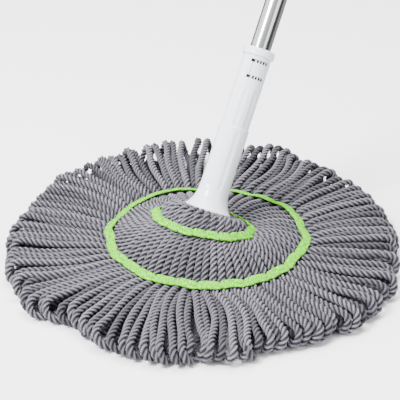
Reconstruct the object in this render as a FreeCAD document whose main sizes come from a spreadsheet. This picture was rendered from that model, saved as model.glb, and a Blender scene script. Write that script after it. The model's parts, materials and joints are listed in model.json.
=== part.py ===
import FreeCAD, Part
import math
import os
import Sketcher

# Self-wringing mop with a looped cord head, standing on its strands with the pole leaning.
# Frame: millimetres, +Z up, origin on the floor under the middle of the hub.
# Pieces on the pole are drawn upright along their own Z and then leaned with it.

os.makedirs("parts", exist_ok=True)
document = FreeCAD.newDocument("spin_mop")
sheet = document.addObject("Spreadsheet::Sheet", "dims")

sizes = {
    "lean_angle": 32.9,
    "lean_heading": 55.1,
    "hub_height": 20.0,
    "pole_radius": 11.0,
    "pole_bore": 10.4,
    "tube_edge": 0.3,
    "pole_joint": 640.0,
    "pole_top": 1240.0,
    "joint_depth": 40.0,
    "thread_radius": 7.0,
    "thread_length": 24.0,
    "cap_shoulder": 10.0,
    "tongue_rise": 32.0,
    "tongue_half_width": 10.0,
    "tongue_half_depth": 4.5,
    "eye_radius": 5.5,
    "disc_radius": 26.0,
    "disc_thickness": 3.0,
    "clamp_start": 11.0,
    "clamp_thickness": 3.0,
    "clamp_radius": 25.0,
    "clamp_bore": 11.3,
    "plug_top": 34.0,
    "screw_head_radius": 4.0,
    "screw_head_depth": 2.0,
    "screw_radius": 1.6,
    "screw_end": 20.0,
    "clamp_screw_circle": 18.0,
    "clamp_screw_head": 2.8,
    "clamp_screw_radius": 1.3,
    "clamp_screw_end": 13.0,
    "recess": 0.2,
    "pad_radius": 20.0,
    "seat_start": 53.0,
    "seat_height": 7.0,
    "seat_radius": 13.1,
    "stop_start": 524.7,
    "stop_height": 7.0,
    "stop_radius": 15.5,
    "notch_half": 1.1,
    "notch_depth": 1.6,
    "slide_gap": 0.05,
    "bush_radius": 13.2,
    "lower_bush_start": 60.4,
    "lower_bush_length": 14.0,
    "upper_bush_start": 161.0,
    "upper_bush_length": 12.0,
    "wheel_radius": 11.9,
    "wheel_start": 176.0,
    "wheel_length": 24.0,
    "edge_break": 0.6,
    "sleeve_radius": 15.0,
    "sleeve_bore": 13.3,
    "sleeve_start": 60.0,
    "sleeve_end": 204.0,
    "cap_radius": 17.0,
    "cap_bore": 11.3,
    "cap_top": 212.0,
    "cap_lip": 1.4,
    "cap_round": 1.5,
    "bell_radius": 16.0,
    "bell_start": 34.0,
    "bell_end": 127.0,
    "bell_mouth": 25.0,
    "bell_wall": 1.0,
    "flute_tool": 14.0,
    "flute_depth": 0.6,
    "flute_low": 62.5,
    "flute_high": 119.0,
    "upper_flute_low": 126.0,
    "upper_flute_high": 165.0,
    "ring_start": 40.0,
    "ring_height": 3.5,
    "ring_radius": 17.6,
    "ring_bore": 13.5,
    "window_heading": -76.0,
    "window_low": 179.5,
    "window_high": 199.5,
    "window_half": 10.0,
    "window_gap": 0.25,
    "panel_back": 13.4,
    "panel_face": 15.1,
    "pawl_tip": 13.3,
    "pawl_half": 1.0,
    "slot_height": 3.1,
    "slot_margin": 0.05,
    "spring_inner": 13.0,
    "spring_outer": 13.25,
    "spring_half": 11.6,
    "spring_low": 182.5,
    "spring_high": 188.5,
    "sector_count": 12.0,
    "rim_radius": 209.0,
    "rim_shift": 15.8,
    "rim_heading": 72.0,
    "collar_band_radius": 53.0,
    "collar_band_shift": 12.0,
    "layer_low": 10.0,
    "layer_gap": 0.5,
    "lower_inner": 28.5,
    "sector_gap": 0.4,
    "roll_inner": 44.5,
    "roll_shift": 12.5,
    "roll_narrow": 6.2,
    "roll_height": 38.0,
    "roll_tilt": 15.0,
    "band_radius": 107.5,
    "band_half": 4.8,
    "band_rise": 1.2,
    "mid_height": 20.0,
    "tip_height": 22.0,
}

for row, name in enumerate(sizes, start=1):
    sheet.set("A%d" % row, name)
    sheet.set("B%d" % row, "%.4f" % sizes[name])
    sheet.setAlias("B%d" % row, name)
document.recompute()

SIGNS = {"+": 1.0, "-": -1.0}


def amount(expression):
    """The value of a sum of named sizes, such as 'seat_start + seat_height'."""
    total = 0.0
    sign = 1.0
    for word in expression.split():
        if word in SIGNS:
            sign = SIGNS[word]
        elif word != "zero":
            total += sign * sizes[word]
    return total


def bound(expression):
    """The same sum as an expression on the sheet."""
    words = [w if w in SIGNS else "dims." + w for w in expression.split() if w != "zero"]
    return " ".join(words)


def bind(thing, field, expression):
    thing.setExpression(field, bound(expression))


lean = FreeCAD.Placement(
    FreeCAD.Vector(0, 0, sizes["hub_height"]),
    FreeCAD.Rotation(
        FreeCAD.Vector(
            -math.sin(math.radians(sizes["lean_heading"])),
            math.cos(math.radians(sizes["lean_heading"])),
            0,
        ),
        sizes["lean_angle"],
    ),
)
pieces = []


def keep(thing, label, placement=lean):
    """Marks a finished sub-part and sets where it sits."""
    thing.Label = label
    thing.Placement = placement
    pieces.append(thing)
    return thing


def turned(name, points):
    """A body turned about its own Z from a closed profile of (radius, height) sums."""
    body = document.addObject("PartDesign::Body", name + "_body")
    sketch = body.newObject("Sketcher::SketchObject", name + "_profile")
    side = [f for f in body.Origin.OriginFeatures if f.Role == "XZ_Plane"][0]
    sketch.AttachmentSupport = (side, [""])
    sketch.MapMode = "FlatFace"
    corners = [FreeCAD.Vector(amount(r), amount(z), 0) for r, z in points]
    for n, corner in enumerate(corners):
        sketch.addGeometry(Part.LineSegment(corner, corners[(n + 1) % len(corners)]))
    for n in range(len(corners)):
        sketch.addConstraint(
            Sketcher.Constraint("Coincident", n, 2, (n + 1) % len(corners), 1)
        )
    for n, (radius, height) in enumerate(points):
        for kind, text, value, axis in (
            ("DistanceX", radius, corners[n].x, -2),
            ("DistanceY", height, corners[n].y, -1),
        ):
            if abs(value) < 1e-9:
                sketch.addConstraint(Sketcher.Constraint("PointOnObject", n, 1, axis))
                continue
            index = sketch.addConstraint(
                Sketcher.Constraint(kind, -1, 1, n, 1, value)
            )
            sketch.setExpression("Constraints[%d]" % index, bound(text))
    turn = body.newObject("PartDesign::Revolution", name + "_turn")
    turn.Profile = sketch
    turn.ReferenceAxis = (sketch, ["V_Axis"])
    turn.Angle = 360
    sketch.Visibility = False
    return body


def cylinder(name, radius, start, end):
    """An upright cylinder between two heights, each a sum of sizes."""
    tool = document.addObject("Part::Cylinder", name)
    bind(tool, "Radius", radius)
    tool.setExpression("Height", "(%s) - (%s)" % (bound(end), bound(start) or "0"))
    if start != "zero":
        bind(tool, "Placement.Base.z", start)
    return tool


def group(name, tools):
    """Several tools as one."""
    if len(tools) == 1:
        return tools[0]
    joined = document.addObject("Part::MultiFuse", name)
    joined.Shapes = tools
    return joined


def cut(name, base, tools):
    result = document.addObject("Part::Cut", name)
    result.Base = base
    result.Tool = group(name + "_tools", tools)
    return result


def common(name, base, tool):
    result = document.addObject("Part::Common", name)
    result.Base = base
    result.Tool = tool
    return result


# ---- pole -------------------------------------------------------------------------

keep(
    turned(
        "lower_tube",
        [
            ("pole_bore", "disc_thickness"),
            ("pole_radius - tube_edge", "disc_thickness"),
            ("pole_radius", "disc_thickness + tube_edge"),
            ("pole_radius", "pole_joint - tube_edge"),
            ("pole_radius - tube_edge", "pole_joint"),
            ("pole_bore", "pole_joint"),
        ],
    ),
    "pole_lower_tube",
)

keep(
    turned(
        "upper_tube",
        [
            ("pole_bore", "pole_joint"),
            ("pole_radius - tube_edge", "pole_joint"),
            ("pole_radius", "pole_joint + tube_edge"),
            ("pole_radius", "pole_top - tube_edge"),
            ("pole_radius - tube_edge", "pole_top"),
            ("pole_bore", "pole_top"),
        ],
    ),
    "pole_upper_tube",
)

keep(
    turned(
        "socket",
        [
            ("pole_bore", "pole_joint - joint_depth"),
            ("pole_bore", "pole_joint"),
            ("thread_radius", "pole_joint"),
            ("thread_radius", "pole_joint - thread_length"),
            ("thread_radius - edge_break - edge_break", "pole_joint - thread_length"),
            ("thread_radius - edge_break - edge_break", "pole_joint - joint_depth"),
        ],
    ),
    "joint_socket",
)

stud_body = turned(
    "stud",
    [
        ("zero", "pole_joint - thread_length + edge_break"),
        ("thread_radius - edge_break", "pole_joint - thread_length + edge_break"),
        ("thread_radius", "pole_joint - thread_length + edge_break + edge_break"),
        ("thread_radius", "pole_joint"),
        ("pole_bore", "pole_joint"),
        ("pole_bore", "pole_joint + joint_depth"),
        ("zero", "pole_joint + joint_depth"),
    ],
)
stud_rings = []
for turn in range(5):
    ring = document.addObject("Part::Torus", "stud_groove_%d" % turn)
    bind(ring, "Radius1", "thread_radius + slide_gap")
    ring.Radius2 = 0.7
    ring.Placement.Base = FreeCAD.Vector(0, 0, sizes["pole_joint"] - 4.0 - 3.6 * turn)
    stud_rings.append(ring)
keep(cut("stud_cut", stud_body, stud_rings), "joint_stud")

cap_body = turned(
    "cap",
    [
        ("zero", "pole_top - joint_depth"),
        ("pole_bore - edge_break", "pole_top - joint_depth"),
        ("pole_bore", "pole_top - joint_depth + edge_break"),
        ("pole_bore", "pole_top"),
        ("pole_radius", "pole_top"),
        ("pole_radius", "pole_top + cap_shoulder"),
        ("pole_radius - edge_break - edge_break", "pole_top + cap_shoulder + cap_round"),
        ("zero", "pole_top + cap_shoulder + cap_round"),
    ],
)
tongue = document.addObject("Part::Box", "tongue_block")
tongue.setExpression("Length", "2 * dims.tongue_half_width")
tongue.setExpression("Width", "2 * dims.tongue_half_depth")
tongue.setExpression("Height", "dims.tongue_rise - dims.tongue_half_width")
tongue.Placement.Base = FreeCAD.Vector(
    -sizes["tongue_half_width"], -sizes["tongue_half_depth"], sizes["pole_top"] + 0.5
)
tongue_end = document.addObject("Part::Cylinder", "tongue_end")
bind(tongue_end, "Radius", "tongue_half_width")
tongue_end.setExpression("Height", "2 * dims.tongue_half_depth")
eye = document.addObject("Part::Cylinder", "eye")
bind(eye, "Radius", "eye_radius")
eye.setExpression("Height", "4 * dims.tongue_half_depth")
eye_height = sizes["pole_top"] + sizes["tongue_rise"] - sizes["tongue_half_width"] + 0.5
tongue_end.Placement = FreeCAD.Placement(
    FreeCAD.Vector(0, sizes["tongue_half_depth"], eye_height),
    FreeCAD.Rotation(FreeCAD.Vector(1, 0, 0), 90),
)
eye.Placement = FreeCAD.Placement(
    FreeCAD.Vector(0, 2 * sizes["tongue_half_depth"], eye_height),
    FreeCAD.Rotation(FreeCAD.Vector(1, 0, 0), 90),
)
keep(cut("hang_cap_cut", group("hang_cap_solid", [cap_body, tongue, tongue_end]), [eye]), "hang_cap")

# ---- hub --------------------------------------------------------------------------

plug_body = turned(
    "plug",
    [
        ("zero", "disc_thickness"),
        ("pole_bore", "disc_thickness"),
        ("pole_bore", "plug_top - edge_break"),
        ("pole_bore - edge_break", "plug_top"),
        ("zero", "plug_top"),
    ],
)
keep(
    cut(
        "plug_cut",
        plug_body,
        [
            cylinder("plug_screw_hole", "screw_radius", "zero", "screw_end"),
        ],
    ),
    "foot_plug",
)

def clamp_screw_tools(prefix, start, end, radius):
    tools = []
    for n in range(4):
        tool = cylinder("%s_%d" % (prefix, n), radius, start, end)
        angle = math.radians(45 + 90 * n)
        tool.Placement.Base.x = sizes["clamp_screw_circle"] * math.cos(angle)
        tool.Placement.Base.y = sizes["clamp_screw_circle"] * math.sin(angle)
        tools.append(tool)
    return tools


disc_body = turned(
    "disc",
    [
        ("zero", "zero"),
        ("disc_radius - edge_break", "zero"),
        ("disc_radius", "edge_break"),
        ("disc_radius", "disc_thickness - edge_break"),
        ("disc_radius - edge_break", "disc_thickness"),
        ("zero", "disc_thickness"),
    ],
)
keep(
    cut(
        "disc_cut",
        disc_body,
        [
            cylinder("disc_screw_sink", "screw_head_radius", "zero", "screw_head_depth"),
            cylinder("disc_screw_hole", "screw_radius", "zero", "plug_top"),
        ]
        + clamp_screw_tools("disc_sink", "zero", "screw_head_depth", "clamp_screw_head")
        + clamp_screw_tools("disc_hole", "zero", "clamp_start", "clamp_screw_radius"),
    ),
    "base_disc",
)
keep(
    turned(
        "screw",
        [
            ("zero", "recess"),
            ("screw_head_radius", "recess"),
            ("screw_head_radius", "screw_head_depth"),
            ("screw_radius", "screw_head_depth"),
            ("screw_radius", "screw_end - screw_radius"),
            ("zero", "screw_end"),
        ],
    ),
    "base_screw",
)
ring_body = turned(
    "clamp",
    [
        ("clamp_bore", "clamp_start"),
        ("clamp_radius", "clamp_start"),
        ("clamp_radius", "clamp_start + clamp_thickness - edge_break"),
        ("clamp_radius - edge_break", "clamp_start + clamp_thickness"),
        ("clamp_bore", "clamp_start + clamp_thickness"),
    ],
)
keep(
    cut(
        "clamp_cut",
        ring_body,
        clamp_screw_tools("clamp_hole", "zero", "clamp_screw_end", "clamp_screw_radius"),
    ),
    "clamp_ring",
)
keep(
    group(
        "clamp_screw_set",
        clamp_screw_tools("clamp_head", "recess", "screw_head_depth", "clamp_screw_head")
        + clamp_screw_tools("clamp_shank", "recess", "clamp_screw_end", "clamp_screw_radius"),
    ),
    "clamp_screws",
)
roots_body = turned(
    "roots",
    [
        ("clamp_bore", "disc_thickness"),
        ("clamp_radius - edge_break", "disc_thickness"),
        ("clamp_radius", "disc_thickness + edge_break"),
        ("clamp_radius", "clamp_start - edge_break"),
        ("clamp_radius - edge_break", "clamp_start"),
        ("clamp_bore", "clamp_start"),
    ],
)
keep(
    cut(
        "roots_cut",
        roots_body,
        clamp_screw_tools("roots_hole", "zero", "clamp_screw_end", "clamp_screw_radius"),
    ),
    "strand_roots",
)

# The loops' folds under the hub fill the space between the leaning disc and the floor.
pad_block = cylinder("pad_block", "pad_radius", "zero", "hub_height + hub_height")
pad_tool = document.addObject("Part::Box", "pad_tool")
pad_tool.Length = 200
pad_tool.Width = 200
pad_tool.Height = 200
pad_tool.Placement = lean.multiply(FreeCAD.Placement(FreeCAD.Vector(-100, -100, 0), FreeCAD.Rotation()))
keep(cut("pad_cut", pad_block, [pad_tool]), "strand_pad", FreeCAD.Placement())

# ---- stops on the pole ------------------------------------------------------------

stop_body = turned(
    "stop",
    [
        ("pole_radius", "stop_start"),
        ("stop_radius - edge_break", "stop_start"),
        ("stop_radius", "stop_start + edge_break"),
        ("stop_radius", "stop_start + stop_height - cap_round"),
        ("stop_radius - cap_round", "stop_start + stop_height"),
        ("pole_radius", "stop_start + stop_height"),
    ],
)
stop_tools = []
for n in range(12):
    notch = document.addObject("Part::Box", "stop_notch_%d" % n)
    bind(notch, "Length", "stop_radius")
    notch.setExpression("Width", "2 * dims.notch_half")
    bind(notch, "Height", "notch_depth")
    angle = math.radians(15 + 30 * n)
    offset = FreeCAD.Vector(sizes["pole_radius"] + 1.4, -sizes["notch_half"], sizes["stop_start"] - 0.4)
    turn = FreeCAD.Rotation(FreeCAD.Vector(0, 0, 1), 15 + 30 * n)
    notch.Placement = FreeCAD.Placement(turn.multVec(offset), turn)
    stop_tools.append(notch)
keep(cut("stop_cut", stop_body, stop_tools), "stop_ring")
keep(
    turned(
        "seat",
        [
            ("pole_radius", "seat_start"),
            ("seat_radius - edge_break", "seat_start"),
            ("seat_radius", "seat_start + edge_break"),
            ("seat_radius", "seat_start + seat_height"),
            ("pole_radius", "seat_start + seat_height"),
        ],
    ),
    "seat_ring",
)

# ---- slider: bushes and the ratchet wheel, free to slide on the pole -----------------

for name, start, length, label in (
    ("low_bush", "lower_bush_start", "lower_bush_length", "lower_guide_bush"),
    ("high_bush", "upper_bush_start", "upper_bush_length", "upper_guide_bush"),
):
    keep(
        turned(
            name,
            [
                ("pole_radius + slide_gap", start),
                ("bush_radius - edge_break", start),
                ("bush_radius", start + " + edge_break"),
                ("bush_radius", start + " + " + length + " - edge_break"),
                ("bush_radius - edge_break", start + " + " + length),
                ("pole_radius + slide_gap", start + " + " + length),
            ],
        ),
        label,
    )
wheel_body = turned(
    "wheel",
    [
        ("pole_radius + slide_gap", "wheel_start"),
        ("wheel_radius", "wheel_start"),
        ("wheel_radius", "wheel_start + wheel_length"),
        ("pole_radius + slide_gap", "wheel_start + wheel_length"),
    ],
)
wheel_tools = []
for n in range(16):
    notch = cylinder("wheel_notch_%d" % n, "edge_break", "wheel_start - edge_break", "window_high + cap_round")
    angle = math.radians(22.5 * n)
    notch.Placement.Base.x = (sizes["wheel_radius"] + 0.1) * math.cos(angle)
    notch.Placement.Base.y = (sizes["wheel_radius"] + 0.1) * math.sin(angle)
    wheel_tools.append(notch)
keep(cut("wheel_cut", wheel_body, wheel_tools), "ratchet_wheel")

# ---- sleeve -----------------------------------------------------------------------


def flute_tools(prefix, count, first, surface, low, high):
    """Round-ended grooves along a cylinder of the given radius."""
    tools = []
    reach = amount(surface) + sizes["flute_tool"] - sizes["flute_depth"]
    for n in range(count):
        angle = math.radians(first + 360.0 * n / count)
        shaft = cylinder("%s_%d" % (prefix, n), "flute_tool", low, high)
        shaft.Placement.Base.x = reach * math.cos(angle)
        shaft.Placement.Base.y = reach * math.sin(angle)
        tools.append(shaft)
        for end, height in (("a", low), ("b", high)):
            ball = document.addObject("Part::Sphere", "%s_%d%s" % (prefix, n, end))
            bind(ball, "Radius", "flute_tool")
            ball.Placement.Base = FreeCAD.Vector(
                reach * math.cos(angle), reach * math.sin(angle), amount(height)
            )
            tools.append(ball)
    return tools


def window_box(name, half, low, high, inner, outer):
    """A box through the wall at the window's heading, between two radii."""
    box = document.addObject("Part::Box", name)
    box.Length = outer - inner
    box.Width = 2 * half
    box.Height = high - low
    turn = FreeCAD.Rotation(FreeCAD.Vector(0, 0, 1), sizes["window_heading"])
    box.Placement = FreeCAD.Placement(turn.multVec(FreeCAD.Vector(inner, -half, low)), turn)
    return box


sleeve_solid = turned(
    "sleeve",
    [
        ("sleeve_bore", "sleeve_start"),
        ("sleeve_radius", "sleeve_start"),
        ("sleeve_radius", "sleeve_end"),
        ("sleeve_bore", "sleeve_end"),
    ],
)
keep(
    cut(
        "sleeve_cut",
        sleeve_solid,
        [
            window_box(
                "window",
                sizes["window_half"] + sizes["window_gap"],
                sizes["window_low"] - sizes["window_gap"],
                sizes["window_high"] + sizes["window_gap"],
                5.0,
                20.0,
            )
        ]
        + flute_tools(
            "sleeve_flute",
            8,
            sizes["window_heading"] + 22.5,
            "sleeve_radius",
            "upper_flute_low",
            "upper_flute_high",
        ),
    ),
    "sleeve_tube",
)
keep(
    turned(
        "rim",
        [
            ("cap_bore", "sleeve_end - cap_lip"),
            ("sleeve_bore", "sleeve_end - cap_lip"),
            ("sleeve_bore", "sleeve_end"),
            ("cap_radius - edge_break", "sleeve_end"),
            ("cap_radius", "sleeve_end + edge_break"),
            ("cap_radius", "cap_top - cap_round"),
            ("cap_radius - edge_break", "cap_top - edge_break"),
            ("cap_radius - cap_round", "cap_top"),
            ("cap_bore + edge_break", "cap_top"),
            ("cap_bore", "cap_top - edge_break"),
        ],
    ),
    "sleeve_cap",
)

# Bell: drop below the mouth radius at each height above the mouth, inner then outer wall.
bell_steps = [
    (0.0, 0.0), (2.0, 0.0), (3.6, 1.6), (6.0, 3.5),
    (10.0, 5.7), (15.0, 7.4), (21.0, 8.5), (28.0, 9.0),
]
sizes_at = {}
outer = []
inner = []
for n, (rise, drop) in enumerate(bell_steps):
    for key, value in (("bell_rise_%s" % "abcdefgh"[n], rise), ("bell_drop_%s" % "abcdefgh"[n], drop)):
        sizes_at[key] = value
for row, name in enumerate(sizes_at, start=len(sizes) + 1):
    sheet.set("A%d" % row, name)
    sheet.set("B%d" % row, "%.4f" % sizes_at[name])
    sheet.setAlias("B%d" % row, name)
sizes.update(sizes_at)
document.recompute()
for n in range(len(bell_steps)):
    letter = "abcdefgh"[n]
    radius = "bell_mouth - bell_drop_%s" % letter
    height = "bell_start + bell_rise_%s" % letter
    outer.append((radius, height))
    inner.append((radius + " - bell_wall", height))
bell_solid = turned(
    "bell",
    outer
    + [
        ("bell_radius", "bell_end - cap_round"),
        ("sleeve_radius", "bell_end"),
    ]
    + inner[::-1],
)
keep(
    cut(
        "bell_cut",
        bell_solid,
        flute_tools(
            "bell_flute", 8, sizes["window_heading"], "bell_radius", "flute_low", "flute_high"
        ),
    ),
    "bell_collar",
)
keep(
    turned(
        "collar",
        [
            ("ring_bore", "ring_start"),
            ("ring_radius", "ring_start"),
            ("ring_radius", "ring_start + ring_height - edge_break"),
            ("ring_radius - edge_break", "ring_start + ring_height"),
            ("ring_bore", "ring_start + ring_height"),
        ],
    ),
    "collar_ring",
)

# The roll of upper strand ends that fills the bell's mouth, as a stack of simple steps.
roll_steps = [
    (13.5, 17.0), (27.0, 15.5), (33.0, 17.6), (35.6, 21.0), (36.0, 24.0), (34.2, 28.6), (31.0, 32.0),
    (27.0, 33.3), (23.6, 33.7), (23.6, 35.0), (20.2, 39.6), (13.5, 39.6),
]
roll_sizes = {}
for n, (radius, height) in enumerate(roll_steps):
    roll_sizes["roll_radius_%s" % "abcdefghijkl"[n]] = radius
    roll_sizes["roll_rise_%s" % "abcdefghijkl"[n]] = height
for row, name in enumerate(roll_sizes, start=len(sizes) + 1):
    sheet.set("A%d" % row, name)
    sheet.set("B%d" % row, "%.4f" % roll_sizes[name])
    sheet.setAlias("B%d" % row, name)
sizes.update(roll_sizes)
document.recompute()
keep(
    turned(
        "roll",
        [("roll_radius_%s" % "abcdefghijkl"[n], "roll_rise_%s" % "abcdefghijkl"[n]) for n in range(12)],
    ),
    "strand_roll",
)

# ---- lock panel ---------------------------------------------------------------------

panel_shell = cut(
    "panel_shell",
    cylinder("panel_outer", "panel_face", "window_low", "window_high"),
    [cylinder("panel_inner", "panel_back", "window_low - edge_break", "window_high + edge_break")],
)
panel_plate = common(
    "panel_plate",
    panel_shell,
    window_box(
        "panel_bounds", sizes["window_half"], sizes["window_low"], sizes["window_high"], 5.0, 20.0
    ),
)
pawl = window_box(
    "pawl_block",
    sizes["pawl_half"],
    sizes["window_low"] + 7.5,
    sizes["window_high"] - 7.5,
    sizes["pawl_tip"],
    sizes["panel_back"] + 0.6,
)
slot_tools = []
for level, low in (
    ("low", sizes["window_low"] + sizes["slot_margin"]),
    ("high", sizes["window_high"] - sizes["slot_margin"] - sizes["slot_height"]),
):
    for n, (centre, half) in enumerate(((-7.5, 2.1), (-2.9, 1.3), (0.4, 1.3), (3.7, 1.3), (7.0, 1.3))):
        tool = document.addObject("Part::Box", "slot_%s_%d" % (level, n))
        tool.Length = 15
        tool.Width = 2 * half
        tool.Height = sizes["slot_height"]
        turn = FreeCAD.Rotation(FreeCAD.Vector(0, 0, 1), sizes["window_heading"])
        tool.Placement = FreeCAD.Placement(
            turn.multVec(FreeCAD.Vector(5, centre - half, low)), turn
        )
        slot_tools.append(tool)
groove = window_box(
    "panel_groove",
    0.45,
    sizes["window_low"] - 1,
    sizes["window_high"] + 1,
    sizes["panel_back"] + 0.2,
    20.0,
)
groove.Placement.Base = FreeCAD.Rotation(
    FreeCAD.Vector(0, 0, 1), sizes["window_heading"]
).multVec(FreeCAD.Vector(sizes["panel_back"] - 1.9, -8.2, sizes["window_low"] - 1))
keep(
    cut("panel_cut", group("panel_solid", [panel_plate, pawl]), slot_tools + [groove]),
    "lock_panel",
)
leaf_shell = cut(
    "leaf_shell",
    cylinder("leaf_outer", "spring_outer", "spring_low", "spring_high"),
    [cylinder("leaf_inner", "spring_inner", "spring_low - edge_break", "spring_high + edge_break")],
)
leaf_sides = []
for side in (-1, 1):
    block = document.addObject("Part::Box", "leaf_side_%s" % ("left" if side < 0 else "right"))
    block.Length = 20
    block.Width = sizes["spring_half"] - 2.0
    block.Height = 12
    turn = FreeCAD.Rotation(FreeCAD.Vector(0, 0, 1), sizes["window_heading"])
    edge = 2.0 if side > 0 else -sizes["spring_half"]
    block.Placement = FreeCAD.Placement(
        turn.multVec(FreeCAD.Vector(0, edge, sizes["spring_low"] - 3)), turn
    )
    leaf_sides.append(block)
keep(common("leaf_cut", leaf_shell, group("leaf_sides", leaf_sides)), "lock_spring")

# ---- strand sectors -----------------------------------------------------------------


def slab(name, inner_reach, outer_reach, floor, inner_top, outer_top, tangent):
    """A flat-sided sector piece between two distances from the origin, along its own Y."""
    piece = document.addObject("Part::Wedge", name)
    piece.setExpression("Ymin", inner_reach)
    piece.setExpression("Ymax", outer_reach)
    piece.setExpression("Xmin", "dims.sector_gap - (%s) * %s" % (inner_reach, tangent))
    piece.setExpression("Xmax", "(%s) * %s - dims.sector_gap" % (inner_reach, tangent))
    piece.setExpression("X2min", "dims.sector_gap - (%s) * %s" % (outer_reach, tangent))
    piece.setExpression("X2max", "(%s) * %s - dims.sector_gap" % (outer_reach, tangent))
    piece.setExpression("Zmin", floor)
    piece.setExpression("Zmax", inner_top)
    piece.setExpression("Z2min", floor)
    piece.setExpression("Z2max", outer_top)
    return piece


count = int(sizes["sector_count"])
tangent = "tan(180 / dims.sector_count)"
for n in range(count):
    heading = 360.0 * n / count
    swing = "cos(%.4f)" % (heading - sizes["lean_heading"])
    spread = "dims.rim_shift * cos(%.4f)" % (heading - sizes["rim_heading"])
    rim = "dims.rim_radius + " + spread
    waist = "dims.band_radius + " + spread
    start = "dims.roll_inner + dims.roll_shift * %s - dims.roll_narrow * %s * %s" % (swing, swing, swing)
    ring = "dims.collar_band_radius + dims.collar_band_shift * " + swing
    crest = "dims.roll_height - dims.roll_tilt * " + swing
    turn = FreeCAD.Placement(
        FreeCAD.Vector(0, 0, 0), FreeCAD.Rotation(FreeCAD.Vector(0, 0, 1), heading - 90.0)
    )
    number = "%02d" % (n + 1)
    floor = "dims.layer_low + dims.layer_gap"
    seat = "dims.mid_height + 3 * dims.band_rise"
    low = slab(
        "lower_" + number, "dims.lower_inner", rim, "0", "dims.layer_low", "dims.layer_low", tangent
    )
    inner_from = ring + " - dims.band_half"
    inner_to = ring + " + dims.band_half"
    outer_from = waist + " - dims.band_half"
    outer_to = waist + " + dims.band_half"
    shoulder = slab("shoulder_" + number, start, inner_to, floor, crest, crest, tangent)
    inside = slab("inside_" + number, inner_to, waist, floor, crest, "dims.mid_height", tangent)
    outside = slab("outside_" + number, waist, rim, floor, "dims.mid_height", "dims.tip_height", tangent)
    outer_seat = slab("outer_seat_" + number, outer_from, outer_to, floor, seat, seat, tangent)
    outer_band = slab(
        "outer_band_" + number, outer_from, outer_to, seat,
        seat + " + dims.band_rise", seat + " + dims.band_rise", tangent,
    )
    inner_band = slab(
        "inner_band_" + number, inner_from, inner_to, crest,
        crest + " + dims.band_rise", crest + " + dims.band_rise", tangent,
    )
    keep(low, "strands_lower_" + number, turn)
    keep(group("upper_" + number, [shoulder, inside, outside, outer_seat]), "strands_upper_" + number, turn)
    keep(group("bands_" + number, [outer_band, inner_band]), "bands_" + number, turn)

document.recompute()

for piece in pieces:
    state = list(piece.State)
    if "Invalid" in state or "Error" in state:
        raise RuntimeError("%s did not compute: %s" % (piece.Label, state))
    if piece.Shape.isNull() or not piece.Shape.isValid():
        raise RuntimeError("%s has no valid shape" % piece.Label)
    if not piece.Shape.Solids:
        raise RuntimeError("%s has no solid" % piece.Label)
    piece.Shape.exportStep("parts/%s.step" % piece.Label)
    print(piece.Label, len(piece.Shape.Solids), round(piece.Shape.Volume, 1))

for thing in document.Objects:
    if "Invalid" in thing.State or "Error" in thing.State:
        raise RuntimeError("%s did not compute" % thing.Name)
print(len(pieces), "sub-parts")
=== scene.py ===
import json
import math
import random

import bpy
import numpy as np
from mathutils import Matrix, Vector

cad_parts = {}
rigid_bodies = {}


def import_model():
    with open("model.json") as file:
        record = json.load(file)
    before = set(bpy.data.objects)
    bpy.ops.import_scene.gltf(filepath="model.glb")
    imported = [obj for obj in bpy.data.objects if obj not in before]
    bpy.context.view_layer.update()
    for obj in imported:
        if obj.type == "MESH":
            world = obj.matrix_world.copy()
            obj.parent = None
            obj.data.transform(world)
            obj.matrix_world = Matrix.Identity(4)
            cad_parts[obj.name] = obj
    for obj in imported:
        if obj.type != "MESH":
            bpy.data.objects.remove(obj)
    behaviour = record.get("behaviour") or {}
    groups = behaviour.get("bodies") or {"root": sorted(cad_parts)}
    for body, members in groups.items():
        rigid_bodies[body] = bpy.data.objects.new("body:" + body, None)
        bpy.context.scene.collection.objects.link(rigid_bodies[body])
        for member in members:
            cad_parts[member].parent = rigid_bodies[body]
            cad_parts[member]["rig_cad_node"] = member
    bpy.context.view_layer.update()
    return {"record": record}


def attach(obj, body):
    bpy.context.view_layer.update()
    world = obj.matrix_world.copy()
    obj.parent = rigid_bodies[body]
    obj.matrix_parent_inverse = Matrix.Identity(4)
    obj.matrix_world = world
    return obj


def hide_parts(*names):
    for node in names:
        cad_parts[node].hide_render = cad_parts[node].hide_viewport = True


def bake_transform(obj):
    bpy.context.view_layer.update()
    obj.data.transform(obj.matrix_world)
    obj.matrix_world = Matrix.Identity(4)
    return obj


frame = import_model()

# ---- the frame: pole axis, hub and sectors, all read from the record ------------------------

MM = 0.001
TURN = 2 * math.pi
UP = Vector((0.0, 0.0, 1.0))
rng = random.Random(11)

joints = {j["name"]: j for j in frame["record"]["behaviour"]["joints"]}
POLE = Vector(joints["sleeve_slide"]["axis"]).normalized()
HUB = Vector(joints["sleeve_twist"]["pos_m"])
SECTORS = sorted(n for n in frame["record"]["behaviour"]["bodies"] if n.startswith("upper_"))
COUNT = len(SECTORS)
SECTOR_ANGLE = TURN / COUNT

# A heading is an angle round the upright axis through the hub, in radians from +X. The camera
# looks towards a heading of 90 degrees, so FAR is the side of the head away from it.
FAR = math.radians(90)


def flat(heading):
    """Unit vector along the floor."""
    return Vector((math.cos(heading), math.sin(heading), 0.0))


def outward(heading):
    """Unit vector square to the pole, in the plane that holds the pole and a floor heading."""
    d = flat(heading)
    return (d - d.dot(POLE) * POLE).normalized()


def on_pole(heading, r, t):
    """A point r mm out from the pole's axis and t mm along it from the hub."""
    return HUB + POLE * (t * MM) + outward(heading) * (r * MM)


def on_floor(heading, r, z):
    """A point r mm out from the upright axis through the hub and z mm above the floor."""
    d = flat(heading)
    return Vector((d.x * r * MM, d.y * r * MM, z * MM))


# ---- the spread head's outline, in mm ---------------------------------------------------------

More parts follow.
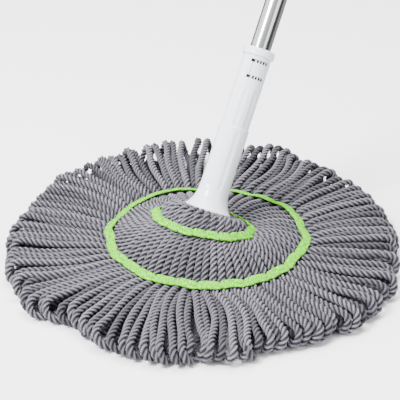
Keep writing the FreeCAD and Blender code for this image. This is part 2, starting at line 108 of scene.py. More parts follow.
# The outer band and the rim are nearly circles set off the hub: mean radius, how far off, and
# which way. The rim has a small wave too.
BAND_RADIUS = 103.0
BAND_OFFSET = 18.4
BAND_OFFSET_HEADING = math.radians(54.5)
RIM_RADIUS = 206.5
RIM_OFFSET = 15.8
RIM_OFFSET_HEADING = math.radians(72.0)
RIM_WAVE = 1.6
RIM_WAVES = 17

# Where the pile bulges (+) or falls short (-) of that outline: heading and half width in degrees,
# and size in mm.
BULGES = (
    (-26, 13, 8),
    (-62, 9, -8),
    (-108, 9, 5),
    (-133, 8, -11),
    (-149, 8, 7),
    (155, 13, -11),
    (66, 8, 7),
    (95, 8, 7),
)


def waist(heading):
    """Radius of the outer band, where the pile is sewn down."""
    return BAND_RADIUS + BAND_OFFSET * math.cos(heading - BAND_OFFSET_HEADING)


def rim(heading):
    """Radius of the pile's outer edge."""
    uneven = 0.0
    for place, width, size in BULGES:
        off = (math.degrees(heading) - place + 180.0) % 360.0 - 180.0
        uneven += size * math.exp(-(off / width) ** 2)
    offset = RIM_OFFSET * math.cos(heading - RIM_OFFSET_HEADING)
    return RIM_RADIUS + offset + uneven + RIM_WAVE * math.sin(RIM_WAVES * heading)


# ---- materials ------------------------------------------------------------------------------

# Colour ramps: place on the ramp and colour.
CORD_GREYS = [
    (0.0, (0.045, 0.044, 0.053)),
    (0.42, (0.175, 0.168, 0.193)),
    (1.0, (0.37, 0.36, 0.40)),
]
# Painted shade and highlight on the cords: a factor by the groove value, dark in the grooves between the
# plies and full on the ridges.
PAINTED_GROOVE_SHADE = [
    (0.05, (0.06, 0.058, 0.07)),
    (0.4, (0.30, 0.30, 0.315)),
    (0.72, (0.64, 0.64, 0.65)),
    (1.0, (1.0, 1.0, 1.0)),
]
# Mottled band greens: a random tone, with the palest stop a painted highlight.
BAND_GREENS_AND_HIGHLIGHTS = [
    (0.38, (0.035, 0.30, 0.002)),
    (0.5, (0.11, 0.56, 0.006)),
    (0.62, (0.36, 0.86, 0.07)),
]
FLOOR_WHITES = [
    (0.3, (0.93, 0.93, 0.935)),
    (0.7, (0.95, 0.95, 0.953)),
]


def material(name):
    """A new material with one Principled shader, its node tree and that shader."""
    m = bpy.data.materials.new(name)
    m.use_nodes = True
    m.node_tree.nodes.clear()
    out = m.node_tree.nodes.new("ShaderNodeOutputMaterial")
    shader = m.node_tree.nodes.new("ShaderNodeBsdfPrincipled")
    m.node_tree.links.new(shader.outputs[0], out.inputs[0])
    return m, m.node_tree, shader


def node(tree, kind, **values):
    """A new node; each value goes to the input of that name, or else to the property."""
    n = tree.nodes.new(kind)
    for key, value in values.items():
        if key in n.inputs.keys():
            n.inputs[key].default_value = value
        else:
            setattr(n, key, value)
    return n


def set_inputs(n, values):
    """Sets a node's inputs by name, as node() can't where a name has a space."""
    for key, value in values.items():
        n.inputs[key].default_value = value


def ramp(tree, source, stops):
    """A colour ramp fed by source."""
    r = tree.nodes.new("ShaderNodeValToRGB")
    tree.links.new(source, r.inputs[0])
    while len(r.color_ramp.elements) < len(stops):
        r.color_ramp.elements.new(0.5)
    for e, (at, colour) in zip(r.color_ramp.elements, stops):
        e.position = at
        e.color = (*colour, 1.0)
    return r


def bump(tree, shader, source, strength, distance):
    """A bump node between source and the shader's normal."""
    b = node(tree, "ShaderNodeBump", Strength=strength, Distance=distance)
    tree.links.new(source, b.inputs["Height"])
    tree.links.new(b.outputs[0], shader.inputs["Normal"])
    return b


def vary_roughness(tree, shader, source, least, most):
    """Lets a noise move the shader's roughness between two values."""
    rough = node(tree, "ShaderNodeMapRange")
    set_inputs(rough, {"To Min": least, "To Max": most})
    tree.links.new(source, rough.inputs["Value"])
    tree.links.new(rough.outputs[0], shader.inputs["Roughness"])


def cord_material():
    """Grey microfibre: fibres along the cord, a tone for each cord, painted shade in the grooves and
    painted highlights on the ridges.
    """
    m, tree, shader = material("microfibre_cord")
    uv = node(tree, "ShaderNodeUVMap", uv_map="cord")
    stretch = node(tree, "ShaderNodeMapping", Scale=(60.0, 0.30, 1.0))
    tree.links.new(uv.outputs[0], stretch.inputs[0])
    fibre = node(tree, "ShaderNodeTexNoise", Scale=1.0, Detail=4.0, Roughness=0.6)
    tree.links.new(stretch.outputs[0], fibre.inputs["Vector"])
    tone = node(tree, "ShaderNodeAttribute", attribute_name="tone")
    groove = node(tree, "ShaderNodeAttribute", attribute_name="groove")
    mix = node(tree, "ShaderNodeMath", operation="MULTIPLY_ADD")
    mix.inputs[1].default_value = 0.45
    tree.links.new(fibre.outputs[0], mix.inputs[0])
    tree.links.new(tone.outputs["Fac"], mix.inputs[2])
    colour = ramp(tree, mix.outputs[0], CORD_GREYS)
    # Painted shade in the grooves and painted highlight on the ridges, multiplied into the cord colour.
    dark = ramp(tree, groove.outputs["Fac"], PAINTED_GROOVE_SHADE)
    shade = node(tree, "ShaderNodeMix", data_type="RGBA", blend_type="MULTIPLY")
    shade.inputs["Factor"].default_value = 1.0
    tree.links.new(colour.outputs[0], shade.inputs["A"])
    tree.links.new(dark.outputs[0], shade.inputs["B"])
    tree.links.new(shade.outputs["Result"], shader.inputs["Base Color"])
    set_inputs(shader, {"Roughness": 0.92, "Specular IOR Level": 0.22})
    set_inputs(shader, {"Sheen Weight": 0.06, "Sheen Roughness": 0.5})
    bump(tree, shader, fibre.outputs[0], 0.75, 0.0009)
    return m


def band_material():
    """Green woven tape: a raised weave and a mottled, slightly furry colour whose palest patches are
    painted highlights. The UV map is in mm.
    """
    m, tree, shader = material("green_band")
    uv = node(tree, "ShaderNodeUVMap", uv_map="band")
    weave = node(tree, "ShaderNodeTexBrick", Scale=1.0)
    set_inputs(weave, {"Brick Width": 1.5, "Row Height": 0.75, "Mortar Size": 0.12, "Mortar Smooth": 0.8})
    tree.links.new(uv.outputs[0], weave.inputs["Vector"])
    fuzz_and_highlight = node(tree, "ShaderNodeTexNoise", Scale=0.55, Detail=6.0, Roughness=0.75)
    tree.links.new(uv.outputs[0], fuzz_and_highlight.inputs["Vector"])
    colour = ramp(tree, fuzz_and_highlight.outputs[0], BAND_GREENS_AND_HIGHLIGHTS)
    tree.links.new(colour.outputs[0], shader.inputs["Base Color"])
    set_inputs(shader, {"Roughness": 0.75, "Specular IOR Level": 0.12})
    bump(tree, shader, weave.outputs["Fac"], 0.8, 0.0006).invert = True
    return m


def plastic_material(name, colour, roughness, grain=0.08):
    """Moulded plastic: faint clouds in colour and gloss, and a fine grain."""
    m, tree, shader = material(name)
    where = node(tree, "ShaderNodeTexCoord")
    cloud = node(tree, "ShaderNodeTexNoise", Scale=35.0, Detail=3.0)
    fine = node(tree, "ShaderNodeTexNoise", Scale=900.0, Detail=2.0)
    tree.links.new(where.outputs["Object"], cloud.inputs["Vector"])
    tree.links.new(where.outputs["Object"], fine.inputs["Vector"])
    low = tuple(c * 0.96 for c in colour)
    tone = ramp(tree, cloud.outputs[0], [(0.3, low), (0.7, colour)])
    tree.links.new(tone.outputs[0], shader.inputs["Base Color"])
    vary_roughness(tree, shader, cloud.outputs[0], roughness - 0.03, roughness + 0.06)
    set_inputs(shader, {"Specular IOR Level": 0.5})
    bump(tree, shader, fine.outputs[0], grain, 0.0003)
    return m


def metal_material(name, colour, roughness):
    """Drawn metal: fine streaks along the pole in colour, gloss and bump."""
    m, tree, shader = material(name)
    where = node(tree, "ShaderNodeTexCoord")
    along_pole = POLE.to_track_quat("Z", "Y").inverted().to_euler()
    upright = node(tree, "ShaderNodeMapping", Rotation=along_pole)
    squeeze = node(tree, "ShaderNodeMapping", Scale=(1.0, 1.0, 0.03))
    streak = node(tree, "ShaderNodeTexNoise", Scale=260.0, Detail=3.0)
    tree.links.new(where.outputs["Object"], upright.inputs[0])
    tree.links.new(upright.outputs[0], squeeze.inputs[0])
    tree.links.new(squeeze.outputs[0], streak.inputs["Vector"])
    low = tuple(c * 0.93 for c in colour)
    tone = ramp(tree, streak.outputs[0], [(0.3, low), (0.7, colour)])
    tree.links.new(tone.outputs[0], shader.inputs["Base Color"])
    vary_roughness(tree, shader, streak.outputs[0], roughness * 0.8, roughness * 1.3)
    set_inputs(shader, {"Metallic": 1.0, "Specular Tint": (0.10, 0.10, 0.11, 1.0)})
    bump(tree, shader, streak.outputs[0], 0.04, 0.0002)
    return m


CORD = cord_material()
BAND = band_material()
WHITE = plastic_material("white_plastic", (0.76, 0.78, 0.83), 0.16)
PANEL = plastic_material("panel_plastic", (0.72, 0.75, 0.80), 0.38, 0.15)
RING = plastic_material("ring_plastic", (0.20, 0.26, 0.34), 0.45, 0.15)
# The inner parts seen through the lock's slots: a dark plastic made near black so that the slots read
# dark, partly its own colour and partly painted shade.
DARK_AND_SLOT_SHADE = plastic_material("inner_plastic", (0.012, 0.012, 0.014), 0.6, 0.15)
STEEL = metal_material("polished_steel", (0.62, 0.62, 0.63), 0.14)
ZINC = metal_material("zinc_steel", (0.60, 0.60, 0.62), 0.32)

SLOTS = {"steel": STEEL, "white_plastic": WHITE, "panel_plastic": PANEL, "ring_plastic": RING,
         "inner_plastic": DARK_AND_SLOT_SHADE, "zinc_steel": ZINC, "microfibre": CORD, "green_band": BAND}
slot_of = {s["node"]: s["material_slot"] for s in frame["record"]["subparts"]}
for obj in bpy.context.scene.objects:
    name = obj.get("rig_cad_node")
    if name in slot_of:
        obj.data.materials.clear()
        obj.data.materials.append(SLOTS[slot_of[name]])

# ---- cords ----------------------------------------------------------------------------------

LOBES = 3           # plies that show round a cord
AROUND = 15         # mesh points round a cord
PITCH = 17.5        # mm of cord for one full turn of its twist
STEP = 1.8          # mm between the mesh rings along a cord
FINE = 24           # samples between two control points
GROOVE = 0.60       # radius at the bottom of a groove, as a share of the cord's
LOBE = 0.45         # how far a lobe stands up from there
LOBE_SHAPE = 0.7    # below 1, so that lobes are broad and grooves narrow
SWELL = 0.04        # share by which a cord thickens and thins along its length
SWELL_RUN = 17.0    # mm of cord for one radian of that
UV_SHIFT = 90       # mm that the fibre pattern moves for one radian of phase, so that cords differ


def spline(points, step=STEP):
    """Points in mm on a smooth curve through the control points, evenly spaced, and their runs."""
    pts = np.array([list(p) for p in points]) * 1000.0
    ends = np.vstack([2 * pts[0] - pts[1], pts, 2 * pts[-1] - pts[-2]])
    fine = []
    for i in range(1, len(ends) - 2):
        p0, p1, p2, p3 = ends[i - 1:i + 3]
        d = [max(np.linalg.norm(b - a), 1e-3) ** 0.5 for a, b in ((p0, p1), (p1, p2), (p2, p3))]
        t0, t1, t2, t3 = 0.0, d[0], d[0] + d[1], sum(d)
        for t in np.linspace(t1, t2, FINE, endpoint=False):
            a1 = (t1 - t) / (t1 - t0) * p0 + (t - t0) / (t1 - t0) * p1
            a2 = (t2 - t) / (t2 - t1) * p1 + (t - t1) / (t2 - t1) * p2
            a3 = (t3 - t) / (t3 - t2) * p2 + (t - t2) / (t3 - t2) * p3
            b1 = (t2 - t) / (t2 - t0) * a1 + (t - t0) / (t2 - t0) * a2
            b2 = (t3 - t) / (t3 - t1) * a2 + (t - t1) / (t3 - t1) * a3
            fine.append((t2 - t) / (t2 - t1) * b1 + (t - t1) / (t2 - t1) * b2)
    fine.append(pts[-1])
    fine = np.array(fine)
    run = np.concatenate([[0], np.cumsum(np.linalg.norm(np.diff(fine, axis=0), axis=1))])
    n = max(3, int(run[-1] / step) + 1)
    at = np.linspace(0, run[-1], n)
    return np.stack([np.interp(at, run, fine[:, i]) for i in range(3)], axis=1), at


def carried_sides(tangent):
    """Unit vectors square to the tangents, carried along them without twisting."""
    side = np.zeros_like(tangent)
    ref = np.array([0.0, 0.0, 1.0])
    if abs(tangent[0] @ ref) > 0.9:
        ref = np.array([1.0, 0.0, 0.0])
    s = np.cross(tangent[0], ref)
    side[0] = s / np.linalg.norm(s)
    for i in range(1, len(tangent)):
        s = side[i - 1] - (side[i - 1] @ tangent[i]) * tangent[i]
        side[i] = s / np.linalg.norm(s)
    return side


class Cords:
    """Collects twisted cords into one mesh."""

    def __init__(self):
        self.verts = []
        self.faces = []
        self.uv = []
        self.tone = []
        self.groove = []
        self.total = 0

    def add(self, path, run, radius, phase, tone, taper=(1.0, 1.0)):
        """A cord along the path; run is the distance at each point and taper scales its two ends."""
        n = len(path)
        tangent = np.gradient(path, axis=0)
        tangent /= np.linalg.norm(tangent, axis=1)[:, None]
        side = carried_sides(tangent)
        up = np.cross(tangent, side)
        column = np.arange(AROUND) / AROUND
        ang = (phase + run / PITCH * TURN)[:, None] + column[None, :] * TURN
        lobe = 0.5 + 0.5 * np.cos(LOBES * column * TURN)
        swell = 1.0 + SWELL * np.sin(run / SWELL_RUN + phase * 3)
        size = np.broadcast_to(np.asarray(radius, dtype=float), (n,)) * swell
        size[0] *= taper[0]
        size[-1] *= taper[1]
        r = size[:, None] * (GROOVE + LOBE * lobe[None, :] ** LOBE_SHAPE)
        across = np.cos(ang)[:, :, None] * side[:, None, :] + np.sin(ang)[:, :, None] * up[:, None, :]
        ring = path[:, None, :] + r[:, :, None] * across
        self.verts.append(ring.reshape(-1, 3) * MM)
        first = np.arange(n - 1)[:, None] * AROUND
        a = first + np.arange(AROUND)[None, :]
        b = first + (np.arange(AROUND)[None, :] + 1) % AROUND
        quads = np.stack([a, b, b + AROUND, a + AROUND], axis=-1).reshape(-1, 4) + self.total
        self.faces.append(quads)
        shift = phase * UV_SHIFT
        uv = np.zeros((n - 1, AROUND, 4, 2))
        uv[:, :, 0, 0] = uv[:, :, 3, 0] = column[None, :]
        uv[:, :, 1, 0] = uv[:, :, 2, 0] = column[None, :] + 1.0 / AROUND
        uv[:, :, 0, 1] = uv[:, :, 1, 1] = run[:-1, None] + shift
        uv[:, :, 2, 1] = uv[:, :, 3, 1] = run[1:, None] + shift
        self.uv.append(uv.reshape(-1, 2))
        self.tone.append(np.full(n * AROUND, tone))
        self.groove.append(np.tile(lobe, n))
        self.total += n * AROUND

    def build(self, name):
        """The object, with its UV map in turns and mm, and a tone and groove value at each point."""
        mesh = bpy.data.meshes.new(name)
        verts = np.concatenate(self.verts)
        faces = np.concatenate(self.faces)
        mesh.vertices.add(len(verts))
        mesh.vertices.foreach_set("co", verts.astype(np.float32).ravel())
        mesh.loops.add(len(faces) * 4)
        mesh.loops.foreach_set("vertex_index", faces.astype(np.int32).ravel())
        mesh.polygons.add(len(faces))
        mesh.polygons.foreach_set("loop_start", np.arange(0, len(faces) * 4, 4, dtype=np.int32))
        mesh.polygons.foreach_set("use_smooth", np.ones(len(faces), dtype=bool))
        layer = mesh.uv_layers.new(name="cord")
        layer.data.foreach_set("uv", np.concatenate(self.uv).astype(np.float32).ravel())
        for key, values in (("tone", self.tone), ("groove", self.groove)):
            attribute = mesh.attributes.new(key, "FLOAT", "POINT")
            attribute.data.foreach_set("value", np.concatenate(values).astype(np.float32))
        mesh.update()
        mesh.validate()
        mesh.materials.append(CORD)
        obj = bpy.data.objects.new(name, mesh)
        bpy.context.scene.collection.objects.link(obj)
        return obj


# ---- the loops of the head, in mm ---------------------------------------------------------------
#
# Every other loop lies in an under layer, which is lower and straighter, so that little floor shows
# between the upper cords, and darker as painted shade. Pairs of numbers are for the upper layer and the
# under one.

PER = 10                                        # loops in a sector
LOOP_ANGLE = TURN / (COUNT * PER)
CORD_RADIUS = 3.9
LOW = 4.2                                       # height of a cord's middle where it lies on the floor
BELL_DEPTHS = (0.0, 9.0, 4.6, 9.0)              # of four neighbouring loops where they leave the bell
INNER_DEPTHS = (0.5, 6.0)                       # below the inner band
OUTER_DEPTHS = (0.0, 5.4)                       # below the outer band
LOOSENESS = (1.0, 0.3)                          # share of the narrow bunches that a loop follows
DRIFT_SHARES = (1.0, 0.4)
# painted shade: how much darker the under layer's cords are made
UNDER_LAYER_PAINTED_SHADE = (0.0, 0.22)
REACH_SPREAD = 3.6                              # how far loops stop short of the rim
PILE_HEIGHT = 19.2                              # of the upper cords beyond the outer band
LEAST_SWEEP = 8.5                               # sideways step of a loop as it turns at the rim

# A loop's way out of the bell: radius from the pole and height along it, and how much of its
# layer's depth comes off each.
BELL_RUN = (
    (17.6, 0.0, 38.4, 0.0),
    (20.4, 0.1, 34.6, 0.0),
    (27.0, 0.3, 32.2, 0.75),
    (36.0, 0.2, 33.2, 0.85),
)

# The inner band is a ring, tilted about half way from upright to the pole.
TILTED = (0.55 * POLE + 0.45 * UP).normalized()
INNER_RADIUS = 51.3
INNER_HEIGHT = 0.022                            # m along the pole from the hub


def inner_ring(heading):
    """A point of the inner band's ring, and the way its surface faces."""
    d = flat(heading)
    away = (d - d.dot(TILTED) * TILTED).normalized()
    point = HUB + POLE * INNER_HEIGHT + away * (INNER_RADIUS * MM)
    return point, (away * 0.55 + TILTED * 0.83).normalized()


def band_height(heading):
    """Height of the outer band above the floor."""
    return 20.5 - 2.0 * math.cos(heading - FAR)


def sway(heading, s, loose=1.0):
    """Sideways sweep of the cords, at a share s of their way from the outer band to the rim.

    It is made of wide sweeps, narrow bunches and a bow that is back to nothing at the rim.
    """
    trend = 8.0 * math.sin(3 * heading + 0.6) + 4.0 * math.sin(7 * heading + 2.1)
    bunch = 2.6 * math.sin(19 * heading + 1.0) + 1.6 * math.sin(31 * heading)
    bow = 5.5 * math.sin(4 * heading + 0.5) + 3.0 * math.sin(9 * heading + 1.3)
    return (trend + bunch * loose) * s ** 1.4 + bow * math.sin(math.pi * min(s, 1.0))


def any_phase():
    """A random angle, for a cord's twist or a wave along it."""
    return rng.uniform(0, 6.28)


def loop_paths(heading, n):
    """Control points of loop n in three runs: bell to rim, round the rim, and back to the hub."""
    under = n % 2
    deep = BELL_DEPTHS[n % 4]
    far = 0.5 + 0.5 * math.cos(heading - FAR)       # 0 at the near side and 1 at the far side
    placed = heading + rng.uniform(-0.10, 0.10) * LOOP_ANGLE
    sewn = waist(heading)
    reach = rim(heading) - abs(rng.gauss(0, 1)) * REACH_SPREAD

    # Out of the bell and down to the inner band, under it and on to the outer band.
    ring, out = inner_ring(placed)
    top = [on_pole(heading, r - inward * deep, t - down * deep) for r, inward, t, down in BELL_RUN]
    top[-1] = top[-1].lerp(ring, 0.16)
    start = ring - out * ((CORD_RADIUS + 0.4 + INNER_DEPTHS[under]) * MM)
    top.append(start)
    knee = on_floor(placed, sewn, band_height(heading) - CORD_RADIUS - 0.8 - OUTER_DEPTHS[under])
    for u in (0.3, 0.62):
        puff = 4.0 * u * (1 - u) * (6.2 - 2.2 * far)
        top.append(start.lerp(knee, u) + Vector((0, 0, puff * MM)))
    top.append(knee)

    # On to the rim, drifting sideways, waving a little and standing up on the far side.
    drift = rng.uniform(-2.8, 2.8)
    if rng.random() < 0.18:
        drift *= 2.5
    drift *= DRIFT_SHARES[under]
    wave = any_phase()
    rise = rng.uniform(-1.2, 1.6) + abs(drift) * 0.3
    stand = far * rng.uniform(-1.0, 6.0)
    last = reach - 11.0

    def beyond(s):
        """A point at a share s of the way from the outer band to the turn at the rim."""
        r = sewn + (last - sewn) * s
        side = sway(heading, s, LOOSENESS[under]) + drift * s + 1.6 * s * math.sin(wave + 7.0 * s)
        sunk = (4.2 - 3.4 * min(1.0, s / 0.5)) if under else 0.0
        held = 2.2 * max(0.0, 1 - s / 0.16)
        z = PILE_HEIGHT + rise * s + (3.2 + stand) * far * s - sunk - held
        return on_floor(placed + side / r, r, z)

    top += [beyond(s) for s in (0.14, 0.36, 0.58, 0.80, 1.0)]
    end = top[-1]
    end_z = end.z * 1000
    end_h = heading + (math.atan2(end.y, end.x) - heading + math.pi) % TURN - math.pi

    # Over and down at the rim, stepping to one side. Most on the left and right step towards the
    # camera, and so show the side of their turn.
    front = -math.cos(heading)
    lean = 15.0 * math.copysign(min(1.0, abs(front) * 2.2), front)
    sweep = (lean + rng.uniform(-8, 8)) * (1 - 0.45 * far)
    if abs(sweep) < LEAST_SWEEP:
        sweep = math.copysign(LEAST_SWEEP, sweep)
    turn = sweep / reach
    tip = [
        end,
        on_floor(end_h + 0.10 * turn, reach - 3.4, end_z - 1.6),
        on_floor(end_h + 0.38 * turn, reach, 0.5 * end_z + 2.0),
        on_floor(end_h + 0.72 * turn, reach - 2.0, LOW + 2.4),
    ]

    # Back to the hub along the floor, between the places of this loop and the next.
    low = [on_floor(end_h + turn, reach - 9.0, LOW), on_floor(end_h + 1.22 * turn, reach - 19.0, LOW)]
    back = heading + LOOP_ANGLE * (0.5 + rng.uniform(-0.08, 0.12))
    ripple = any_phase()
    for r in range(178, 77, -20):
        if r < reach - 28:
            k = min(1.0, max(0.0, (r - 90) / 95.0))
            lift = 4.4 * (1 - k) * under
            h = (end_h + 1.3 * turn) * k + back * (1 - k) + k * math.sin(ripple + r / 11.0) * 1.8 / r
            low.append(on_floor(h, r, LOW + lift))
    hub_z = on_pole(heading, 25, 7).z * 1000
    low.append(on_floor(back, 52, LOW + 0.16 * (hub_z - LOW)))
    low.append(on_pole(back, 30, 6.0))
    low.append(on_pole(back, 21, 7.0))
    return top, tip, low


def filler_path(heading):
    """Control points of a shorter loop that lies between the upper cords and the returns."""
    sewn = waist(heading) + 4.0
    reach = rim(heading) - rng.uniform(6.0, 13.0)
    lean = rng.uniform(-4.0, 4.0) / reach
    spread = rng.choice((-1.0, 1.0)) * LOOP_ANGLE * rng.uniform(0.6, 0.95)
    path = []
    for s in (0.0, 0.3, 0.6, 0.9):
        h = heading + (sway(heading, s, 0.0) / reach + lean) * s
        path.append(on_floor(h, sewn + (reach - sewn) * s, 9.6))
    end = heading + sway(heading, 1.0, 0.0) / reach + lean
    path.append(on_floor(end + 0.3 * spread, reach, 8.0))
    path.append(on_floor(end + 0.8 * spread, reach - 3, 5.0))
    for s in (0.85, 0.5, 0.1):
        h = end * s + heading * (1 - s) + spread
        path.append(on_floor(h, sewn + (reach - sewn) * s, LOW + 0.6))
    return path


def nearest(path, point):
    """Index of the path's point nearest to a point in metres."""
    return int(np.argmin(np.linalg.norm(path - np.array(list(point)) * 1000.0, axis=1)))


# Cord radius by distance from the bell, and its factor by distance from the hub: gathered cords
# are squeezed thinner.
BELL_RADII = ([0.0, 12.0, 45.0, 75.0], [3.0, 3.1, 3.7, CORD_RADIUS])
HUB_FACTORS = ([0.0, 30.0, 60.0], [0.72, 0.8, 1.0])

for k, body in enumerate(SECTORS):
    number = body.split("_")[1]
    lower = "lower_" + number
    centre = k * SECTOR_ANGLE
    tops = Cords()
    tips = Cords()
    lows = Cords()
    for n in range(PER):
        heading = centre + (n - (PER - 1) / 2) * SECTOR_ANGLE / PER
        top, tip, low = loop_paths(heading, n + k * PER)
        path, run = spline(top + tip[1:] + low)
        cut_a = nearest(path, top[-1])
        cut_b = nearest(path, low[1])
        phase = any_phase()
        # A random tone for each cord, less a painted shade for the under layer.
        tone = rng.uniform(0.12, 0.40) - UNDER_LAYER_PAINTED_SHADE[n % 2]
        size = np.interp(run, *BELL_RADII)
        size = size * np.interp(run[-1] - run, *HUB_FACTORS)
        for store, a, b in ((tops, 0, cut_a + 1), (tips, cut_a, cut_b + 1), (lows, cut_b, len(path))):
            store.add(path[a:b], run[a:b], size[a:b], phase, tone)
        if n % 2:
            path, run = spline(filler_path(heading))
            phase = any_phase()
            # Fillers get a darker tone range: painted shade, as they lie low between the cords.
            lows.add(path, run, CORD_RADIUS, phase, rng.uniform(-0.22, 0.0), taper=(0.6, 0.6))

    # The returns ride with their lower body; the upper halves and the tips are baked in place.
    top_piece = tops.build("strand_tops_" + number)
    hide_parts("strands_upper_" + number)
    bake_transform(top_piece)
    return_piece = lows.build("strand_returns_" + number)
    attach(return_piece, lower)
    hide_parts("strands_lower_" + number)
    tip_piece = tips.build("strand_tips_" + number)
    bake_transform(tip_piece)

# ---- green bands ----------------------------------------------------------------------------


class Ribbons:
    """Collects woven strips into one mesh."""

    # A strip's section: place across it and height, as shares of its width and thickness.
    PROFILE = (
        (-0.5, 0.0),
        (-0.5, 0.6),
        (-0.44, 0.95),
        (-0.22, 1.05),
        (0.0, 1.1),
        (0.22, 1.05),
        (0.44, 0.95),
        (0.5, 0.6),
        (0.5, 0.0),
    )

    def __init__(self):
        self.verts = []
        self.faces = []
        self.uv = []

    def add(self, centres, outs, width, thick, pinch):
        """A strip along the centres; outs are its surface directions and pinch its width factors."""
        n = len(centres)
        m = len(self.PROFILE)
        base = len(self.verts)
        runs = [0.0]
        for i in range(1, n):
            runs.append(runs[-1] + (centres[i] - centres[i - 1]).length * 1000)
        for i, c in enumerate(centres):
            along = (centres[min(i + 1, n - 1)] - centres[max(i - 1, 0)]).normalized()
            across = outs[i].cross(along).normalized()
            face = along.cross(across).normalized()
            for a, h in self.PROFILE:
                self.verts.append(c + across * (a * width * pinch[i]) + face * (h * thick))
        scale = width * 1000 / (m - 1)
        for i in range(n - 1):
            for j in range(m):
                j2 = (j + 1) % m
                corners = (i * m + j, i * m + j2, (i + 1) * m + j2, (i + 1) * m + j)
                self.faces.append(tuple(base + q for q in corners))
                self.uv.append([(runs[i], j * scale), (runs[i], (j + 1) * scale),
                                (runs[i + 1], (j + 1) * scale), (runs[i + 1], j * scale)])
        for first, order in ((0, 1), ((n - 1) * m, -1)):
            self.faces.append(tuple(range(base + first, base + first + m))[::order])
            self.uv.append([(0, 0)] * m)

    def build(self, name):
        """The object, with its UV map in mm."""
        mesh = bpy.data.meshes.new(name)
        mesh.from_pydata([tuple(v) for v in self.verts], [], self.faces)
        layer = mesh.uv_layers.new(name="band")
        for poly, coords in zip(mesh.polygons, self.uv):
            poly.use_smooth = True
            for loop, place in zip(poly.loop_indices, coords):
                layer.data[loop].uv = place
        mesh.update()
        mesh.materials.append(BAND)
        obj = bpy.data.objects.new(name, mesh)
        bpy.context.scene.collection.objects.link(obj)
        return obj


STITCH = SECTOR_ANGLE / 2           # between the places where a band is sewn down and pinched
BAND_STOPS = 33                     # sections along a band in one sector
BAND_THICK = 0.0014
OUTER_WIDTH = 0.0100
INNER_WIDTH = 0.0098
BAND_PUFF = 0.0016                  # how far it bows up between them
BAND_SINK = 0.0010                  # how far it is pulled down at them


def outer_place(heading):
    """A point of the outer band, which sinks between the cords on the far side, and its facing."""
    lift = (UP + flat(heading) * 0.35).normalized()
    far = max(0.0, math.sin(heading)) ** 0.5
    sunk = 3.4 * far * max(0.0, math.sin(5 * heading + 1.2)) ** 0.5
    return on_floor(heading, waist(heading), band_height(heading) + 0.4 - sunk), lift


def inner_place(heading):
    """A point of the inner band, and its facing."""
    point, out = inner_ring(heading)
    return point + out * (0.6 * MM), out


def stitch(place, heading):
    """Where a band is sewn down, pulled a little in or out of its ring."""
    pull = 1.7 * math.sin(11 * heading + 1.0) + 0.8 * math.sin(5 * heading)
    return place(heading)[0] + flat(heading) * (pull * MM)


def band_section(place, width, heading):
    """Centre, facing and width factor of a band at a heading."""
    index = math.floor(heading / STITCH + 1e-6)
    cell = max(0.0, heading / STITCH - index)
    sewn = index * STITCH
    bow = max(0.0, math.sin(math.pi * cell))
    point, out = place(heading)
    straight = stitch(place, sewn).lerp(stitch(place, sewn + STITCH), cell)
    wobble = 0.9 * math.sin(9 * heading + width * 9000) + 0.6 * math.sin(22 * heading)
    point = straight.lerp(point, 0.25) + flat(heading) * (wobble * MM)
    pinch = 0.64 + 0.36 * min(1.0, 3.0 * bow)
    return point + out * (BAND_PUFF * bow ** 0.6 - BAND_SINK), out, pinch


for k, body in enumerate(SECTORS):
    number = body.split("_")[1]
    centre = k * SECTOR_ANGLE
    strips = Ribbons()
    for place, width in ((outer_place, OUTER_WIDTH), (inner_place, INNER_WIDTH)):
        sections = []
        for i in range(BAND_STOPS):
            heading = centre - SECTOR_ANGLE / 2 + SECTOR_ANGLE * i / (BAND_STOPS - 1)
            sections.append(band_section(place, width, heading))
        centres, outs, pinch = zip(*sections)
        strips.add(centres, outs, width, BAND_THICK, pinch)
    strip = strips.build("green_bands_" + number)
    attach(strip, body)
    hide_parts("bands_" + number)

# ---- strand ends in the bell's mouth, at the hub and under it, in mm --------------------------

ROLL_COUNT = 26
ROLL_CORD = 3.1
ROLL_RUN = ((17.2, 38.0), (19.8, 35.0), (22, 30), (20.5, 24.5), (17.4, 20.5))      # radius, height
ROOT_COUNT = 24
ROOT_CORD = 3.7
ROOT_RUN = ((13, 7), (19, 7), (25.5, 7.2), (28.5, 6.5))                            # radius, height
PAD_COUNT = 9
PAD_CORD = 3.4
PAD_RADIUS = 15.5
PAD_ARCH = 0.84                     # radians that an arch spans
PAD_STOPS = 6


def add_short(cords, points, radius, taper=(1.0, 1.0)):
    """A short cord of any phase and tone."""
    path, run = spline(points)
    phase = rng.uniform(0, 6)
    cords.add(path, run, radius, phase, rng.uniform(0.1, 0.4), taper)


roll = Cords()
for n in range(ROLL_COUNT):
    h = TURN * n / ROLL_COUNT
    add_short(roll, [on_pole(h, r, t) for r, t in ROLL_RUN], ROLL_CORD)
roll_piece = roll.build("strand_roll_cords")
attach(roll_piece, "sleeve")
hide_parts("strand_roll")

roots = Cords()
for n in range(ROOT_COUNT):
    h = TURN * n / ROOT_COUNT
    add_short(roots, [on_pole(h, r, t) for r, t in ROOT_RUN], ROOT_CORD, taper=(1.0, 0.6))
roots_piece = roots.build("strand_root_cords")
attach(roots_piece, "pole")
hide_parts("strand_roots")

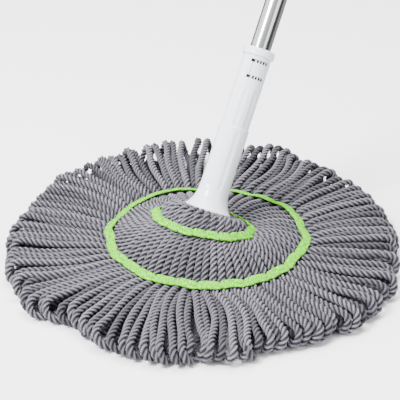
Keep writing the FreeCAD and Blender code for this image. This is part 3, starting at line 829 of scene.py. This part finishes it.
# Under the hub: arches in a ring, as tall as the tilted hub leaves room for, and four cords across.
pad = Cords()
for n in range(PAD_COUNT):
    h = TURN * n / PAD_COUNT + 0.3
    tall = max(LOW + 0.5, on_pole(h, 16, 0).z * 1000 - 4.5)
    points = []
    for i in range(PAD_STOPS + 1):
        a = -PAD_ARCH / 2 + PAD_ARCH * i / PAD_STOPS
        q = flat(h + a) * (PAD_RADIUS * MM)
        z = LOW + (tall - LOW) * math.sin(math.pi * i / PAD_STOPS) ** 0.7
        points.append(Vector((q.x, q.y, z * MM)))
    add_short(pad, points, PAD_CORD, taper=(0.5, 0.5))
for y in (-9, -3, 3, 9):
    points = [Vector((x * MM, (y + math.sin(x / 6.0)) * MM, LOW * MM)) for x in (-14, -7, 0, 7, 14)]
    add_short(pad, points, PAD_CORD, taper=(0.5, 0.5))
pad_piece = pad.build("strand_pad_cords")
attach(pad_piece, "pole")
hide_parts("strand_pad")

# ---- floor ------------------------------------------------------------------------------------
#
# The floor is left out of mirror reflections, so that the pole reflects the world's panels.

FLOOR = 6.0         # half the floor's side, m

mesh = bpy.data.meshes.new("floor")
corners = [(-FLOOR, -FLOOR, 0), (FLOOR, -FLOOR, 0), (FLOOR, FLOOR, 0), (-FLOOR, FLOOR, 0)]
mesh.from_pydata(corners, [], [(0, 1, 2, 3)])
floor = bpy.data.objects.new("floor", mesh)
bpy.context.scene.collection.objects.link(floor)
floor_material, tree, shader = material("studio_floor")
grain = node(tree, "ShaderNodeTexNoise", Scale=6.0, Detail=2.0)
tone = ramp(tree, grain.outputs[0], FLOOR_WHITES)
tree.links.new(tone.outputs[0], shader.inputs["Base Color"])
set_inputs(shader, {"Roughness": 0.6, "Specular IOR Level": 0.2})
mesh.materials.append(floor_material)
floor.visible_glossy = False

# ---- lights and world -------------------------------------------------------------------------


def area(name, where, target, side, power):
    """A square area light, aimed at a target; its side is in m and its power in W."""
    light = bpy.data.lights.new(name, "AREA")
    light.shape = "RECTANGLE"
    light.size = side
    light.size_y = side
    light.energy = power
    obj = bpy.data.objects.new(name, light)
    obj.location = where
    obj.rotation_mode = "QUATERNION"
    obj.rotation_quaternion = (Vector(target) - Vector(where)).to_track_quat("-Z", "Y")
    bpy.context.scene.collection.objects.link(obj)


area("key", (-1.2, -0.8, 1.9), (0, 0, 0.05), 0.75, 150)
area("fill", (1.6, -1.2, 1.3), (0, 0, 0.1), 1.6, 26)
area("top", (0.1, 0.6, 2.4), (0, 0.1, 0), 1.7, 130)

# Light and dark panels round the studio: place round the circle and brightness.
WORLD_STRENGTH = 2.8
BRIGHTEST = 2
PANEL_TINT = (0.97, 0.985, 1.0)
PANELS = [(0.0, 2.0), (0.10, 2.0), (0.20, 0.9), (0.30, 0.6), (0.38, 0.10), (0.47, 0.06), (0.54, 0.5),
          (0.70, 0.7), (0.76, 0.06), (0.86, 0.06), (0.91, 2.0), (1.0, 2.0)]

world = bpy.data.worlds.new("studio")
bpy.context.scene.world = world
world.use_nodes = True
tree = world.node_tree
tree.nodes.clear()
world_out = node(tree, "ShaderNodeOutputWorld")
background = node(tree, "ShaderNodeBackground", Strength=WORLD_STRENGTH)
where = node(tree, "ShaderNodeTexCoord")
panels = node(tree, "ShaderNodeTexGradient", gradient_type="RADIAL")
tree.links.new(where.outputs["Generated"], panels.inputs["Vector"])
stops = [(at, tuple(c * v / BRIGHTEST for c in PANEL_TINT)) for at, v in PANELS]
tone = ramp(tree, panels.outputs["Fac"], stops)
tree.links.new(tone.outputs[0], background.inputs[0])
tree.links.new(background.outputs[0], world_out.inputs[0])

# ---- camera -----------------------------------------------------------------------------------

SENSOR = 36.0                                   # mm
LENS = 115.1                                    # mm
STAND = Vector((0.0085, 0.015, 0.0))            # the point on the floor that the camera stands off
DISTANCE = 1.37                                 # m from that point
ELEVATION = math.radians(32.0)                  # seen from that point
ASIDE = -0.004                                  # step to the left, as a share of the distance
VIEW_DOWN = math.radians(29.76)                 # a little less than ELEVATION, so the head sits low

camera = bpy.data.objects.new("camera", bpy.data.cameras.new("camera"))
bpy.context.scene.collection.objects.link(camera)
camera.data.sensor_width = SENSOR
camera.data.lens = LENS
camera.location = STAND + Vector((ASIDE, -math.cos(ELEVATION), math.sin(ELEVATION))) * DISTANCE
look = Vector((0.0, math.cos(VIEW_DOWN), -math.sin(VIEW_DOWN)))
camera.rotation_mode = "QUATERNION"
camera.rotation_quaternion = look.to_track_quat("-Z", "Y")
camera.data.clip_start = 0.02
camera.data.clip_end = 30
bpy.context.scene.camera = camera
